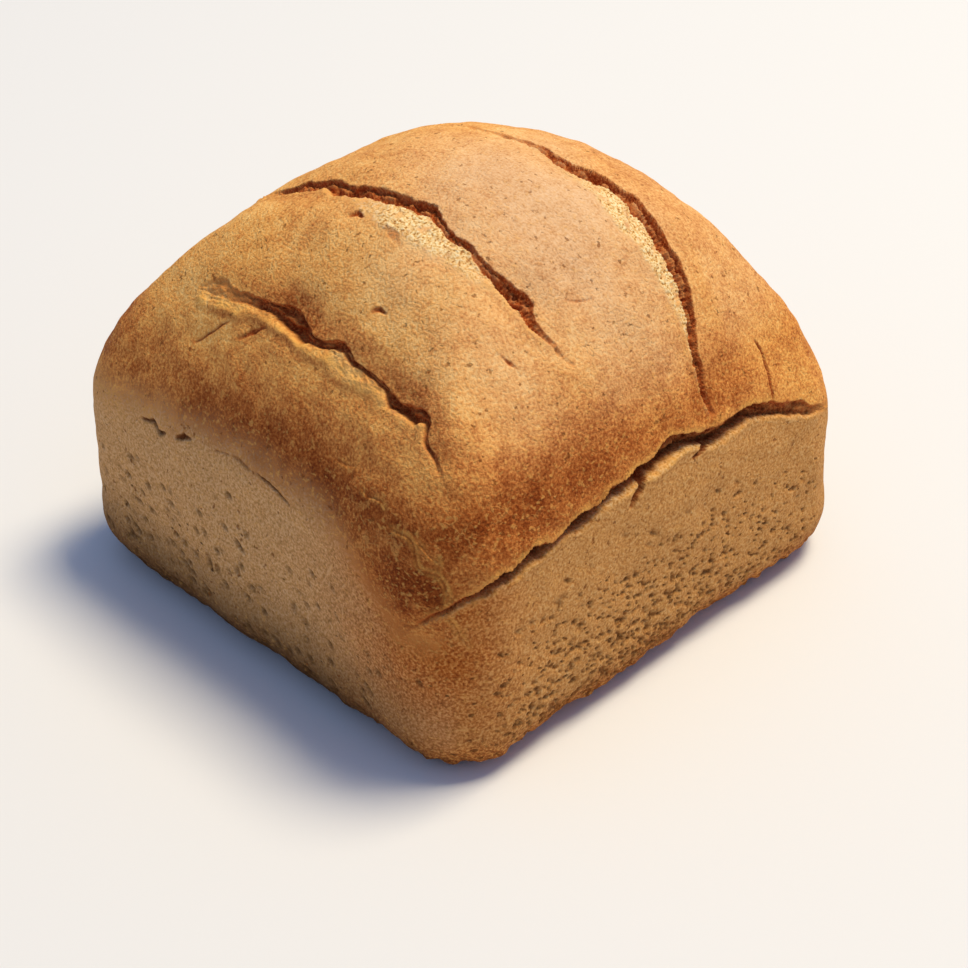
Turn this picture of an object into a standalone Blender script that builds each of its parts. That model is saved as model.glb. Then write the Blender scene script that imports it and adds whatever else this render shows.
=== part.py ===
"""Sourdough tin loaf: one piece of bread with a domed, slashed and torn crust.

The loaf is a nearly square block with rounded corners that widens a little towards its
foot, under a domed crown that leans towards one end. Three slashes run across the crown,
and the crust is torn open along the front side, where the dough rose above the tin.
Units are metres. +Z is up, -Y is the front, and the loaf stands on z = 0.
"""

from typing import NamedTuple

import bmesh
import bpy
import numpy as np
from mathutils import Vector, noise

NAME = "loaf"
COLLECTION = "sourdough_bread"

# Body, as it left the tin
HALF_LENGTH = 0.0675
HALF_WIDTH = 0.0662
CORNER_RADIUS = 0.0178
FOOT_FLARE = 0.0031
FOOT_RADIUS = 0.0135
FOOT_TRIM = 0.0006

# Crown, which rose above the tin
SHOULDER_HEIGHT = 0.0690
SHOULDER_RADIUS = 0.0327
CROWN_RISE = 0.0380
CROWN_X = 0.0075
CROWN_Y = -0.0038
LEAN_X = -0.0094
LEAN_Y = -0.0023
ARCH_POWER_X = 2.30
ARCH_POWER_Y = 2.23
ARCH_SOFTNESS = 0.30

# Unevenness of the crust: size of the waves and how far they reach
SWELL = 0.0011
SWELL_SIZE = 0.030
LUMP = 0.00055
LUMP_SIZE = 0.011
FOOT_RAG = 0.0016
FOOT_RAG_SIZE = 0.007
FOOT_RAG_HEIGHT = 0.012

# Edges of the tears
WALL = 0.0013
LIP_FADE = 0.0060
NEAR_LIP_WIDTH = 0.0016
OVERHANG_FADE = 0.0050
END_FADE = 0.0020
WOBBLE = 0.0009
WOBBLE_SIZE = 0.006
TEAR_REACH = 0.030
FULL_DEPTH = 0.0030
ROUTE_SAMPLES = 160
ROUTE_SMOOTHING = 9

# Mesh
GRID_CUTS = 119
SOFTENING = 2
TRIANGLES = 10400
CORE = (0.0, 0.0, 0.040)
REACH = 0.160
SETTLE_STEPS = 34
PROBE = 0.0004
SMOOTH_ANGLE = np.radians(40.0)

# Crust, the colour of its lighter sides and crown
CRUST_COLOUR = (0.447, 0.202, 0.060, 1.0)
CRUST_ROUGHNESS = 0.72


class Tear(NamedTuple):
    """One opening in the crust: a torn slope and, on the left of its route, a steep wall.

    Each station holds x, y, z, the width of the torn slope and the depth. The lips are
    the heights of the crust beside the wall and beside the slope, and the overhang is how
    far the wall's top edge hangs over the opening.
    """

    stations: tuple
    lip: float
    near_lip: float
    overhang: float


END_SLASH = Tear(
    stations=(
        (-0.052, 0.036, 0.078, 0.0030, 0.0000),
        (-0.051, 0.021, 0.083, 0.0035, 0.0012),
        (-0.051, 0.011, 0.085, 0.0045, 0.0046),
        (-0.051, 0.003, 0.085, 0.0045, 0.0042),
        (-0.052, -0.003, 0.085, 0.0030, 0.0018),
        (-0.052, -0.013, 0.085, 0.0030, 0.0022),
        (-0.053, -0.022, 0.084, 0.0025, 0.0012),
        (-0.053, -0.031, 0.082, 0.0040, 0.0032),
        (-0.053, -0.038, 0.081, 0.0040, 0.0034),
        (-0.055, -0.045, 0.078, 0.0025, 0.0016),
        (-0.057, -0.051, 0.074, 0.0020, 0.0000),
    ),
    lip=0.0004,
    near_lip=0.0008,
    overhang=0.0003,
)
MIDDLE_SLASH = Tear(
    stations=(
        (-0.025, 0.040, 0.095, 0.0030, 0.0000),
        (-0.026, 0.027, 0.099, 0.0040, 0.0026),
        (-0.027, 0.014, 0.103, 0.0040, 0.0030),
        (-0.027, 0.005, 0.105, 0.0045, 0.0030),
        (-0.024, -0.003, 0.107, 0.0065, 0.0038),
        (-0.024, -0.010, 0.107, 0.0080, 0.0034),
        (-0.025, -0.020, 0.106, 0.0070, 0.0022),
        (-0.026, -0.031, 0.102, 0.0035, 0.0014),
        (-0.026, -0.038, 0.099, 0.0035, 0.0042),
        (-0.025, -0.043, 0.096, 0.0030, 0.0036),
        (-0.021, -0.053, 0.085, 0.0020, 0.0000),
    ),
    lip=0.0009,
    near_lip=0.0002,
    overhang=0.0006,
)
SIDE_SLASH = Tear(
    stations=(
        (0.009, 0.022, 0.106, 0.0020, 0.0000),
        (0.012, 0.004, 0.108, 0.0030, 0.0014),
        (0.015, -0.011, 0.107, 0.0030, 0.0012),
        (0.015, -0.020, 0.106, 0.0045, 0.0038),
        (0.020, -0.028, 0.103, 0.0075, 0.0036),
        (0.021, -0.036, 0.100, 0.0090, 0.0036),
        (0.019, -0.044, 0.093, 0.0085, 0.0032),
        (0.018, -0.052, 0.084, 0.0065, 0.0030),
        (0.016, -0.057, 0.077, 0.0045, 0.0026),
        (0.014, -0.061, 0.068, 0.0030, 0.0024),
        (0.013, -0.064, 0.059, 0.0020, 0.0000),
    ),
    lip=0.0010,
    near_lip=0.0002,
    overhang=0.0006,
)
FRONT_TEAR = Tear(
    stations=(
        (-0.069, -0.048, 0.034, 0.0020, 0.0000),
        (-0.067, -0.057, 0.043, 0.0030, 0.0010),
        (-0.059, -0.065, 0.051, 0.0050, 0.0024),
        (-0.040, -0.067, 0.054, 0.0065, 0.0030),
        (-0.023, -0.067, 0.055, 0.0065, 0.0030),
        (-0.011, -0.066, 0.057, 0.0060, 0.0032),
        (0.006, -0.065, 0.060, 0.0060, 0.0036),
        (0.016, -0.065, 0.058, 0.0050, 0.0026),
        (0.027, -0.065, 0.055, 0.0055, 0.0042),
        (0.038, -0.065, 0.052, 0.0050, 0.0036),
        (0.050, -0.066, 0.047, 0.0040, 0.0028),
        (0.062, -0.061, 0.041, 0.0030, 0.0000),
    ),
    lip=0.0014,
    near_lip=0.0,
    overhang=0.0013,
)
TEARS = (END_SLASH, MIDDLE_SLASH, SIDE_SLASH, FRONT_TEAR)


def clear_scene():
    """Remove every object of the startup scene."""
    for obj in list(bpy.data.objects):
        bpy.data.objects.remove(obj, do_unlink=True)


def rounded_max(first, second, radius):
    """Outer of two surfaces, with a fillet of this radius where they meet."""
    inner = np.minimum(np.maximum(first, second), -radius)
    past_first = np.maximum(first + radius, 0.0)
    past_second = np.maximum(second + radius, 0.0)
    return inner + np.hypot(past_first, past_second)


def side_distance(x, y, z):
    """Distance outside the four upright sides, which lean in towards the crown."""
    flare = FOOT_FLARE * (1.0 - np.clip(z / SHOULDER_HEIGHT, 0.0, 1.4))
    past_x = np.abs(x) - (HALF_LENGTH + flare - CORNER_RADIUS)
    past_y = np.abs(y) - (HALF_WIDTH + flare - CORNER_RADIUS)
    inner = np.minimum(np.maximum(past_x, past_y), 0.0)
    corner = np.hypot(np.maximum(past_x, 0.0), np.maximum(past_y, 0.0))
    return inner + corner - CORNER_RADIUS


def arch(offset, power):
    """About one at the middle of the crown, easing down to nothing at its edges."""
    fall = 1.0 - np.abs(offset) ** power
    return (fall + np.hypot(fall, ARCH_SOFTNESS)) / 2.0


def crown_distance(x, y, z):
    """Height above the domed crown."""
    along = (x - CROWN_X) / HALF_LENGTH
    across = (y - CROWN_Y) / HALF_WIDTH
    rise = CROWN_RISE * arch(along, ARCH_POWER_X) * arch(across, ARCH_POWER_Y)
    return z - (SHOULDER_HEIGHT + rise + LEAN_X * along + LEAN_Y * across)


def loaf_distance(points):
    """Distance outside the smooth form of the loaf, negative inside it."""
    x, y, z = points.T
    body = rounded_max(side_distance(x, y, z), crown_distance(x, y, z), SHOULDER_RADIUS)
    return rounded_max(body, -z - FOOT_TRIM, FOOT_RADIUS)


def settled(points):
    """Points moved along their rays from the core until they lie on the form."""
    core = np.array(CORE)
    rays = points - core
    rays /= np.linalg.norm(rays, axis=1)[:, None]
    low = np.zeros(len(points))
    high = np.full(len(points), REACH)
    for _ in range(SETTLE_STEPS):
        middle = (low + high) / 2.0
        outside = loaf_distance(core + rays * middle[:, None]) > 0.0
        high = np.where(outside, middle, high)
        low = np.where(outside, low, middle)
    return core + rays * low[:, None]


def form_normals(points):
    """Outward directions of the form at these points."""
    slope = np.empty_like(points)
    for axis in range(3):
        step = np.zeros(3)
        step[axis] = PROBE
        slope[:, axis] = loaf_distance(points + step) - loaf_distance(points - step)
    return slope / np.linalg.norm(slope, axis=1)[:, None]


def waves(points, size):
    """Smooth noise of about -1 to 1 whose waves are about this long."""
    return np.array([noise.noise(Vector(point)) for point in points / size])


def eased(values):
    """Values from 0 to 1 with a smooth start and end."""
    values = np.clip(values, 0.0, 1.0)
    return values * values * (3.0 - 2.0 * values)


def smoothed(column):
    """A column of samples with the corners at its stations rounded off."""
    half = ROUTE_SMOOTHING // 2
    padded = np.pad(column, half, mode="edge")
    return np.convolve(padded, np.ones(ROUTE_SMOOTHING) / ROUTE_SMOOTHING, mode="valid")


def route(tear):
    """Samples along a tear: places, directions across it, torn widths and depths."""
    table = np.array(tear.stations)
    steps = np.linalg.norm(np.diff(table[:, :3], axis=0), axis=1)
    length = np.concatenate([[0.0], np.cumsum(steps)])
    at = np.linspace(0.0, length[-1], ROUTE_SAMPLES)
    columns = [smoothed(np.interp(at, length, column)) for column in table.T]
    places = settled(np.stack(columns[:3], axis=1))
    forward = np.gradient(places, axis=0)
    across = np.cross(form_normals(places), forward)
    across /= np.linalg.norm(across, axis=1)[:, None]
    return places, across, columns[3], columns[4]


def profile(tear, offset, width, depth):
    """Height of the crust across a tear, and how far its steep side hangs over."""
    strength = depth / FULL_DEPTH
    slope = np.clip(1.0 + offset / width, 0.0, 1.0) ** 1.5
    wall = eased(offset / WALL)
    beyond = np.maximum(offset - WALL, 0.0)
    floor = np.where(offset < 0.0, -depth * slope, -depth * (1.0 - wall))
    lip = tear.lip * strength * wall * np.exp(-beyond / LIP_FADE)
    near_lip = tear.near_lip * strength * np.exp(-(((offset + width) / NEAR_LIP_WIDTH) ** 2))
    overhang = tear.overhang * strength * wall * np.exp(-beyond / OVERHANG_FADE)
    return floor + lip + near_lip, overhang


def nearest_samples(points, places):
    """Index of the nearest of the places for each point."""
    squares = (places**2).sum(axis=1) - 2.0 * points @ places.T
    return squares.argmin(axis=1)


def tear_shift(tear, points, normals):
    """Movement of each point that opens one tear in the crust."""
    places, across, widths, depths = route(tear)
    nearest = nearest_samples(points, places)
    apart = points - places[nearest]
    sideways = across[nearest]
    offset = (apart * sideways).sum(axis=1)
    raised = (apart * normals).sum(axis=1)
    square = (apart**2).sum(axis=1)
    past_end = np.sqrt(np.maximum(square - offset**2 - raised**2, 0.0))
    close = square < TEAR_REACH**2
    offset[close] += WOBBLE * waves(points[close], WOBBLE_SIZE)
    depth = depths[nearest] * (1.0 - eased(past_end / END_FADE)) * close
    height, overhang = profile(tear, offset, widths[nearest], depth)
    return normals * height[:, None] - sideways * overhang[:, None]


def uneven_shift(points, normals):
    """Movement of each point that gives the crust its swells, lumps and ragged foot."""
    height = SWELL * waves(points, SWELL_SIZE) + LUMP * waves(points, LUMP_SIZE)
    foot = 1.0 - eased(points[:, 2] / FOOT_RAG_HEIGHT)
    front = eased(-points[:, 1] / HALF_WIDTH)
    height += FOOT_RAG * foot * front * waves(points, FOOT_RAG_SIZE)
    height *= eased((points[:, 2] + FOOT_TRIM) / FOOT_RAG_SIZE + 0.15)
    return normals * height[:, None]


def crusted(points):
    """Points of the finished crust for points of the scaled grid."""
    points = settled(points)
    normals = form_normals(points)
    moved = points + uneven_shift(points, normals)
    for tear in TEARS:
        moved += tear_shift(tear, points, normals)
    return moved


def dense_loaf(mesh):
    """Fill the mesh with a finely cut cube that is settled onto the loaf's form."""
    shape = bmesh.new()
    bmesh.ops.create_cube(shape, size=2.0)
    bmesh.ops.subdivide_edges(shape, edges=shape.edges, cuts=GRID_CUTS, use_grid_fill=True)
    grid = np.array([vertex.co for vertex in shape.verts], dtype=np.float64)
    middle = (SHOULDER_HEIGHT + CROWN_RISE) / 2.0
    places = crusted(grid * (HALF_LENGTH, HALF_WIDTH, middle) + (0.0, 0.0, middle))
    for vertex, place in zip(shape.verts, places):
        vertex.co = place
    shape.to_mesh(mesh)
    shape.free()


def thin_out(obj):
    """Soften the edges of the tears, then merge the grid where the crust is smooth."""
    count = sum(len(face.vertices) - 2 for face in obj.data.polygons)
    soften = obj.modifiers.new("Soften", "SMOOTH")
    soften.factor = 0.5
    soften.iterations = SOFTENING
    decimate = obj.modifiers.new("Decimate", "DECIMATE")
    decimate.ratio = TRIANGLES / count
    decimate.use_collapse_triangulate = True
    bpy.context.view_layer.objects.active = obj
    for modifier in (soften, decimate):
        bpy.ops.object.modifier_apply(modifier=modifier.name)


def cut_base(mesh):
    """Cut the foot flat at z = 0 and close it with one face."""
    shape = bmesh.new()
    shape.from_mesh(mesh)
    parts = shape.verts[:] + shape.edges[:] + shape.faces[:]
    bmesh.ops.bisect_plane(
        shape,
        geom=parts,
        dist=0.0001,
        plane_co=(0.0, 0.0, 0.0),
        plane_no=(0.0, 0.0, 1.0),
        use_snap_center=True,
        clear_inner=True,
    )
    rim = [edge for edge in shape.edges if edge.is_boundary]
    bmesh.ops.holes_fill(shape, edges=rim, sides=0)
    bmesh.ops.triangulate(shape, faces=shape.faces)
    bmesh.ops.recalc_face_normals(shape, faces=shape.faces)
    shape.to_mesh(mesh)
    shape.free()


def centre(mesh):
    """Move the loaf sideways so that its middle stands over the origin."""
    spots = np.array([vertex.co for vertex in mesh.vertices])
    middle = (spots.min(axis=0) + spots.max(axis=0)) / 2.0
    for vertex in mesh.vertices:
        vertex.co.x -= middle[0]
        vertex.co.y -= middle[1]


def crust_material():
    """Matt golden brown baked crust."""
    material = bpy.data.materials.new("baked_crust")
    material.use_nodes = True
    shader = material.node_tree.nodes["Principled BSDF"]
    shader.inputs["Base Color"].default_value = CRUST_COLOUR
    shader.inputs["Roughness"].default_value = CRUST_ROUGHNESS
    shader.inputs["Metallic"].default_value = 0.0
    return material


def build():
    """Make the loaf as one closed body in its own collection."""
    clear_scene()
    collection = bpy.data.collections.new(COLLECTION)
    bpy.context.scene.collection.children.link(collection)
    mesh = bpy.data.meshes.new(NAME)
    loaf = bpy.data.objects.new(NAME, mesh)
    collection.objects.link(loaf)
    dense_loaf(mesh)
    thin_out(loaf)
    cut_base(mesh)
    centre(mesh)
    mesh.materials.append(crust_material())
    mesh.shade_smooth()
    mesh.set_sharp_from_angle(angle=SMOOTH_ANGLE)


build()
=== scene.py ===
"""Sourdough tin loaf: one piece of bread with a domed, slashed and torn crust.

The loaf is modelled as a baker would describe it: the form that the tin and the oven gave
it, the slashes and the side tear that opened in its crust, the pores of its tin sides, and
the browned, matt, finely grained surface. Units are metres, +Z is up and -Y is the front.
"""

import logging
import math
from dataclasses import dataclass, field
from enum import Enum

import bpy
import numpy as np
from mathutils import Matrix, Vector, noise
from mathutils.kdtree import KDTree


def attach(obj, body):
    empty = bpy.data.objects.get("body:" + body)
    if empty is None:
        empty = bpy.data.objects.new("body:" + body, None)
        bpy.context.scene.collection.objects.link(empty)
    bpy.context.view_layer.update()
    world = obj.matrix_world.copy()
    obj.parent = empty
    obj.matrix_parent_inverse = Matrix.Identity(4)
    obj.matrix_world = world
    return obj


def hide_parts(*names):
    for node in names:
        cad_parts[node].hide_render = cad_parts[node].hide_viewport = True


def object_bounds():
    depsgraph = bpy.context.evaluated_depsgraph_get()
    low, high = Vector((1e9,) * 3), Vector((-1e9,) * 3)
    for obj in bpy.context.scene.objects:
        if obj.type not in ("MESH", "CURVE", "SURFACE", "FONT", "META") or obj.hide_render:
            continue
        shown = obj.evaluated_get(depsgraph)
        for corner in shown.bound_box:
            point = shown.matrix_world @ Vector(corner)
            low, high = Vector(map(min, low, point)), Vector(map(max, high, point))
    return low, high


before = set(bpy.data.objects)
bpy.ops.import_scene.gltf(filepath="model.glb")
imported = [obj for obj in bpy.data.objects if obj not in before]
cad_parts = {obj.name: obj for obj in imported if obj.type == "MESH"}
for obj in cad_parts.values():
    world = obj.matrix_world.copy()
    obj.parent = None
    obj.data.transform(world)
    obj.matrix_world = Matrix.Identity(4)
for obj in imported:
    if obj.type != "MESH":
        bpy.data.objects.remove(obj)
CAD_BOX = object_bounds()

logging.basicConfig(level=logging.INFO, format="%(message)s")
LOG = logging.getLogger("loaf")

MM = 0.001
Array = np.ndarray


def waves(points: Array, size: float, seed: float = 0.0) -> Array:
    """Smooth noise, about -1 to 1, at each place; size is one wave and the seed moves it."""
    shifted = points / size + seed
    return np.array([noise.noise(Vector(place)) for place in shifted])


def eased(values: Array) -> Array:
    """Clamps values to 0..1 with a smooth start and end."""
    values = np.clip(values, 0.0, 1.0)
    return values * values * (3.0 - 2.0 * values)


def bump(values: Array) -> Array:
    """Bell curve of the values, one at zero."""
    return np.exp(-(values**2))


def unit(vectors: Array) -> Array:
    """Scales each row to length one."""
    return vectors / np.linalg.norm(vectors, axis=1)[:, None]


def rounded_max(first: Array, second: Array, radius: float) -> Array:
    """Joins two surfaces, given as distances, with a fillet.

    Args:
        first: distances outside the first surface.
        second: distances outside the second surface.
        radius: radius of the fillet.

    Returns:
        Distances outside both surfaces.
    """
    inner = np.minimum(np.maximum(first, second), -radius)
    past_first = np.maximum(first + radius, 0.0)
    past_second = np.maximum(second + radius, 0.0)
    return inner + np.hypot(past_first, past_second)


@dataclass(frozen=True)
class LoafForm:
    """Smooth form of the loaf: tin-shaped sides under a domed crown."""

    half_length: float = 0.0675
    half_width: float = 0.0662
    corner_radius: float = 0.0178
    foot_flare: float = 0.0031
    foot_radius: float = 0.0135
    foot_trim: float = 0.0006
    shoulder_height: float = 0.0690
    shoulder_radius: float = 0.0327
    crown_rise: float = 0.0380
    crown_x: float = 0.0075
    crown_y: float = -0.0038
    lean_x: float = -0.0094
    lean_y: float = -0.0023
    arch_power_x: float = 2.30
    arch_power_y: float = 2.23
    arch_softness: float = 0.30
    core: tuple[float, float, float] = (0.0, 0.0, 0.040)
    reach: float = 0.160

    def arch(self, offset: Array, power: float) -> Array:
        """Share of the crown's rise: one at its middle, easing down to nothing at its edges."""
        fall = 1.0 - np.abs(offset) ** power
        return (fall + np.hypot(fall, self.arch_softness)) / 2.0

    def side_distance(self, x: Array, y: Array, z: Array) -> Array:
        """Distance outside the four upright sides.

        Args:
            x: positions along the loaf.
            y: positions across it.
            z: heights.

        Returns:
            Distances, negative inside.
        """
        flare = self.foot_flare * (1.0 - np.clip(z / self.shoulder_height, 0.0, 1.4))
        past_x = np.abs(x) - (self.half_length + flare - self.corner_radius)
        past_y = np.abs(y) - (self.half_width + flare - self.corner_radius)
        inner = np.minimum(np.maximum(past_x, past_y), 0.0)
        corner = np.hypot(np.maximum(past_x, 0.0), np.maximum(past_y, 0.0))
        return inner + corner - self.corner_radius

    def crown_distance(self, x: Array, y: Array, z: Array) -> Array:
        """Height above the domed crown.

        Args:
            x: positions along the loaf.
            y: positions across it.
            z: heights.

        Returns:
            Distances, negative below the crown.
        """
        along = (x - self.crown_x) / self.half_length
        across = (y - self.crown_y) / self.half_width
        rise = self.arch(along, self.arch_power_x) * self.arch(across, self.arch_power_y)
        lean = self.lean_x * along + self.lean_y * across
        return z - (self.shoulder_height + self.crown_rise * rise + lean)

    def distance(self, points: Array) -> Array:
        """Distance of each place outside the form, negative inside it.

        Args:
            points: places, one row each.

        Returns:
            One distance for each place.
        """
        x, y, z = points.T
        sides = self.side_distance(x, y, z)
        crown = self.crown_distance(x, y, z)
        body = rounded_max(sides, crown, self.shoulder_radius)
        return rounded_max(body, -z - self.foot_trim, self.foot_radius)

    def settled(self, points: Array) -> Array:
        """Moves places along their rays from the core onto the form.

        Args:
            points: places anywhere but at the core.

        Returns:
            Places on the form.
        """
        core = np.array(self.core)
        rays = unit(points - core)
        low = np.zeros(len(points))
        high = np.full(len(points), self.reach)
        for _ in range(30):
            middle = (low + high) / 2.0
            outside = self.distance(core + rays * middle[:, None]) > 0.0
            high = np.where(outside, middle, high)
            low = np.where(outside, low, middle)
        return core + rays * low[:, None]

    def normals(self, points: Array) -> Array:
        """Outward directions of the form.

        Args:
            points: places on the form.

        Returns:
            One unit vector for each place.
        """
        slope = np.empty_like(points)
        for axis, step in enumerate(np.eye(3) * 0.4 * MM):
            slope[:, axis] = self.distance(points + step) - self.distance(points - step)
        return unit(slope)


@dataclass
class TearReading:
    """What the places near one tear read from it, one value or row each."""

    at: Array
    offset: Array
    along: Array
    gap: Array
    slope: Array
    depth: Array
    pale: Array
    lip: Array
    sideways: Array


@dataclass
class Opening:
    """Relief and finish that one tear gives to the places near it."""

    height: Array
    shift: Array
    hollow: Array
    crumb: Array
    painted_highlight: Array
    painted_lip_shade: Array


@dataclass(frozen=True)
class Tear:
    """Opening in the crust: a gap with a steep far wall and a torn slope on its near side.

    Each station holds x, y and z, the widths of the gap and of the torn slope, the depth,
    how pale the slope's crumb is, from 0 to 1, and how far the near lip curls up. The rag
    waves hold the share, size and seed of each layer that frays the tear's edges.
    """

    name: str
    stations: tuple[tuple[float, ...], ...]
    far_lip: float = 0.0
    overhang: float = 0.0
    valley: float = 0.0
    rib: float = 0.25
    far_highlight: float = 0.0
    far_lip_shade: float = 0.0
    dark: float = 1.0
    fill: float = 0.40
    near_wall: float = 0.5 * MM
    far_wall: float = 0.8 * MM
    shelf: float = 0.40
    lip_width: float = 1.2 * MM
    lip_fade: float = 11.0 * MM
    valley_width: float = 5.5 * MM
    rag: float = 0.60 * MM
    rag_waves: tuple[tuple[float, float, float], ...] = (
        (1.30, 6.0 * MM, 0.0),
        (0.60, 2.4 * MM, 4.0),
        (0.35, 1.2 * MM, 11.0),
    )
    fibre: float = 0.30 * MM
    full_depth: float = 3.0 * MM
    end_fade: float = 2.0 * MM
    reach: float = 14.0 * MM
    samples: int = 120
    smoothing: int = 5

    def route(self, form: LoafForm) -> tuple[Array, ...]:
        """Samples the tear from end to end.

        Args:
            form: the loaf's form, on which the route lies.

        Returns:
            Places, directions across towards the far wall, distances along the route, and
            one row each of the stations' other values.
        """
        table = np.array(self.stations)
        steps = np.linalg.norm(np.diff(table[:, :3], axis=0), axis=1)
        length = np.concatenate([[0.0], np.cumsum(steps)])
        along = np.linspace(0.0, length[-1], self.samples)
        weights = np.ones(self.smoothing) / self.smoothing
        margin = self.smoothing // 2
        columns = []
        for column in table.T:
            sampled = np.pad(np.interp(along, length, column), margin, mode="edge")
            columns.append(np.convolve(sampled, weights, mode="valid"))
        places = form.settled(np.stack(columns[:3], axis=1))
        across = unit(np.cross(form.normals(places), np.gradient(places, axis=0)))
        return places, across, along, np.stack(columns[3:])

    def read(self, form: LoafForm, points: Array, normals: Array) -> TearReading:
        """Measures the places near the tear against it.

        Args:
            form: the loaf's form.
            points: all places on the form.
            normals: outward directions there.

        Returns:
            The reading, with the indices of the places that it covers.
        """
        places, across, along, sizes = self.route(form)
        low, high = places.min(axis=0) - self.reach, places.max(axis=0) + self.reach
        at = np.flatnonzero(((points > low) & (points < high)).all(axis=1))
        points, normals = points[at], normals[at]
        squares = (places**2).sum(axis=1) - 2.0 * points @ places.T
        nearest = squares.argmin(axis=1)
        apart = points - places[nearest]
        sideways = across[nearest]
        offset = (apart * sideways).sum(axis=1)
        raised = (apart * normals).sum(axis=1)
        past_end = np.sqrt(np.maximum((apart**2).sum(axis=1) - offset**2 - raised**2, 0.0))
        gap, slope, depth, pale, lip = sizes[:, nearest]
        ragged = sum(share * waves(points, size, seed) for share, size, seed in self.rag_waves)
        offset += self.rag * ragged * np.clip(0.30 + gap / (2.5 * MM), 0.0, 1.1)
        keep = 1.0 - eased(past_end / self.end_fade)
        return TearReading(
            at, offset, along[nearest], gap, slope, depth * keep, pale, lip * keep, sideways
        )

    def opened(self, reading: TearReading, points: Array) -> Opening:
        """Works out the relief and finish of the tear.

        Args:
            reading: what the places near it read.
            points: those places.

        Returns:
            Heights above the form, sideways shifts and masks.
        """
        offset, gap, slope = reading.offset, reading.gap, reading.slope
        strength = np.clip(reading.depth / self.full_depth, 0.0, 1.4)
        # The depth changes along the tear, and the floor rises again up the torn slope.
        stretched = np.stack([reading.along, offset * 2.0, 0.0 * offset], axis=1)
        changing = waves(stretched, 4.5 * MM, 2.0)
        depth = (1.0 - self.fill) * reading.depth * (1.0 + 0.55 * changing)
        half = gap / 2.0
        near = eased((offset + half) / self.near_wall + 0.5)
        far = eased((offset - half) / self.far_wall + 0.5)
        run = np.clip((offset + half + slope) / slope, 0.0, 1.0)
        inside = near * (1.0 - far)
        floor = -depth * (1.0 - far) * (near + (1.0 - near) * self.shelf * run**1.4)
        # Strands that held on stand up from the floor along the middle of the gap.
        broken = eased(0.5 - 2.2 * changing + 1.2 * waves(stretched, 1.6 * MM, 7.0))
        ridge = bump((offset - 0.08 * gap) / (0.14 * gap + 0.18 * MM)) * broken
        floor += self.rib * depth * inside * ridge
        # The crust sinks beside the gap, curls up past the far wall and at the near lip.
        beside = np.maximum(np.abs(offset) - half, 0.0) / self.valley_width
        floor -= self.valley * strength * bump(beside)
        beyond = np.maximum(offset - half - self.far_wall, 0.0)
        curl = strength * far * (1.0 - eased(beyond / self.lip_fade))
        crest = offset + half + slope
        falling = eased(1.0 + crest / (1.5 * self.lip_width))
        lip = reading.lip * np.where(crest > 0.0, eased(1.0 - crest / slope), falling)
        on_slope = eased((offset + half + slope) / (0.9 * MM)) * (1.0 - near)
        rough = self.rough(reading, points, np.maximum(inside, on_slope) * (strength > 0.0))
        # Pale crumb lies in patches on the slope, and a painted highlight lies on the near lip's
        # sunny crest and the far rim's edge.
        patches = 1.10 + 1.5 * waves(points, 2.8 * MM, 21.0) + waves(points, 1.2 * MM, 23.0)
        soft = eased((offset + half + slope + 0.9 * MM) / (2.2 * MM)) * (1.0 - near)
        crumb = soft * reading.pale * np.clip(2.0 * strength, 0.0, 1.0) * eased(patches)
        sunny = bump((crest - 0.35 * slope) / (0.35 * slope + 0.4 * MM))
        painted_highlight = np.clip(reading.lip / (0.4 * MM), 0.0, 1.0) * sunny
        edge = (offset - half) / self.lip_width
        painted_highlight += self.far_highlight * strength * far * bump((edge - 0.6) / 0.65)
        painted_highlight *= eased(0.65 + waves(points, 3.0 * MM, 31.0))
        # The gap is painted dark down to its far rim: reddish torn crust with painted shade that
        # deepens with the depth and lifts on the strands. Painted shade lies under the near lip and
        # behind the far one.
        rim = near * (1.0 - eased((offset - half - 0.5 * self.far_wall) / (0.3 * MM) + 0.5))
        lumps = 1.0 + 0.35 * waves(points, 1.5 * MM, 17.0) - 0.55 * self.rib * ridge
        shade = self.dark * rim * np.clip(1.8 * strength, 0.0, 1.0) * np.clip(lumps, 0.0, 1.0)
        under = (crest + 0.8 * self.lip_width) / (1.5 * MM)
        painted_lip_shade = np.clip(reading.lip / (1.2 * MM), 0.0, 1.0) * bump(under)
        painted_lip_shade += self.far_lip_shade * strength * bump((offset - half - 2.2 * MM) / (3.4 * MM))
        height = floor + self.far_lip * curl + lip + self.fibre * rough
        painted_highlight = np.clip(painted_highlight, 0.0, 1.0)
        return Opening(height, self.overhang * curl, shade, crumb, painted_highlight, painted_lip_shade)

    def rough(self, reading: TearReading, points: Array, torn: Array) -> Array:
        """Rough crumb and drawn-out strands of a torn face.

        Args:
            reading: what the places near the tear read.
            points: those places.
            torn: how torn the crust is at each of them, 0 to 1.

        Returns:
            Relative heights.
        """
        rough = np.zeros(len(points))
        at = torn > 0.02
        lengths = np.stack([reading.along[at] / 3.2, reading.offset[at], 0.0 * torn[at]], axis=1)
        crumb = waves(points[at], 1.6 * MM, 9.0) + 0.7 * waves(points[at], 0.8 * MM, 2.0)
        strands = 1.0 - 3.4 * np.abs(waves(lengths, 1.2 * MM, 6.0))
        rough[at] = torn[at] * (1.1 * crumb + 0.9 * np.clip(strands, 0.0, 1.0))
        return rough


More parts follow.
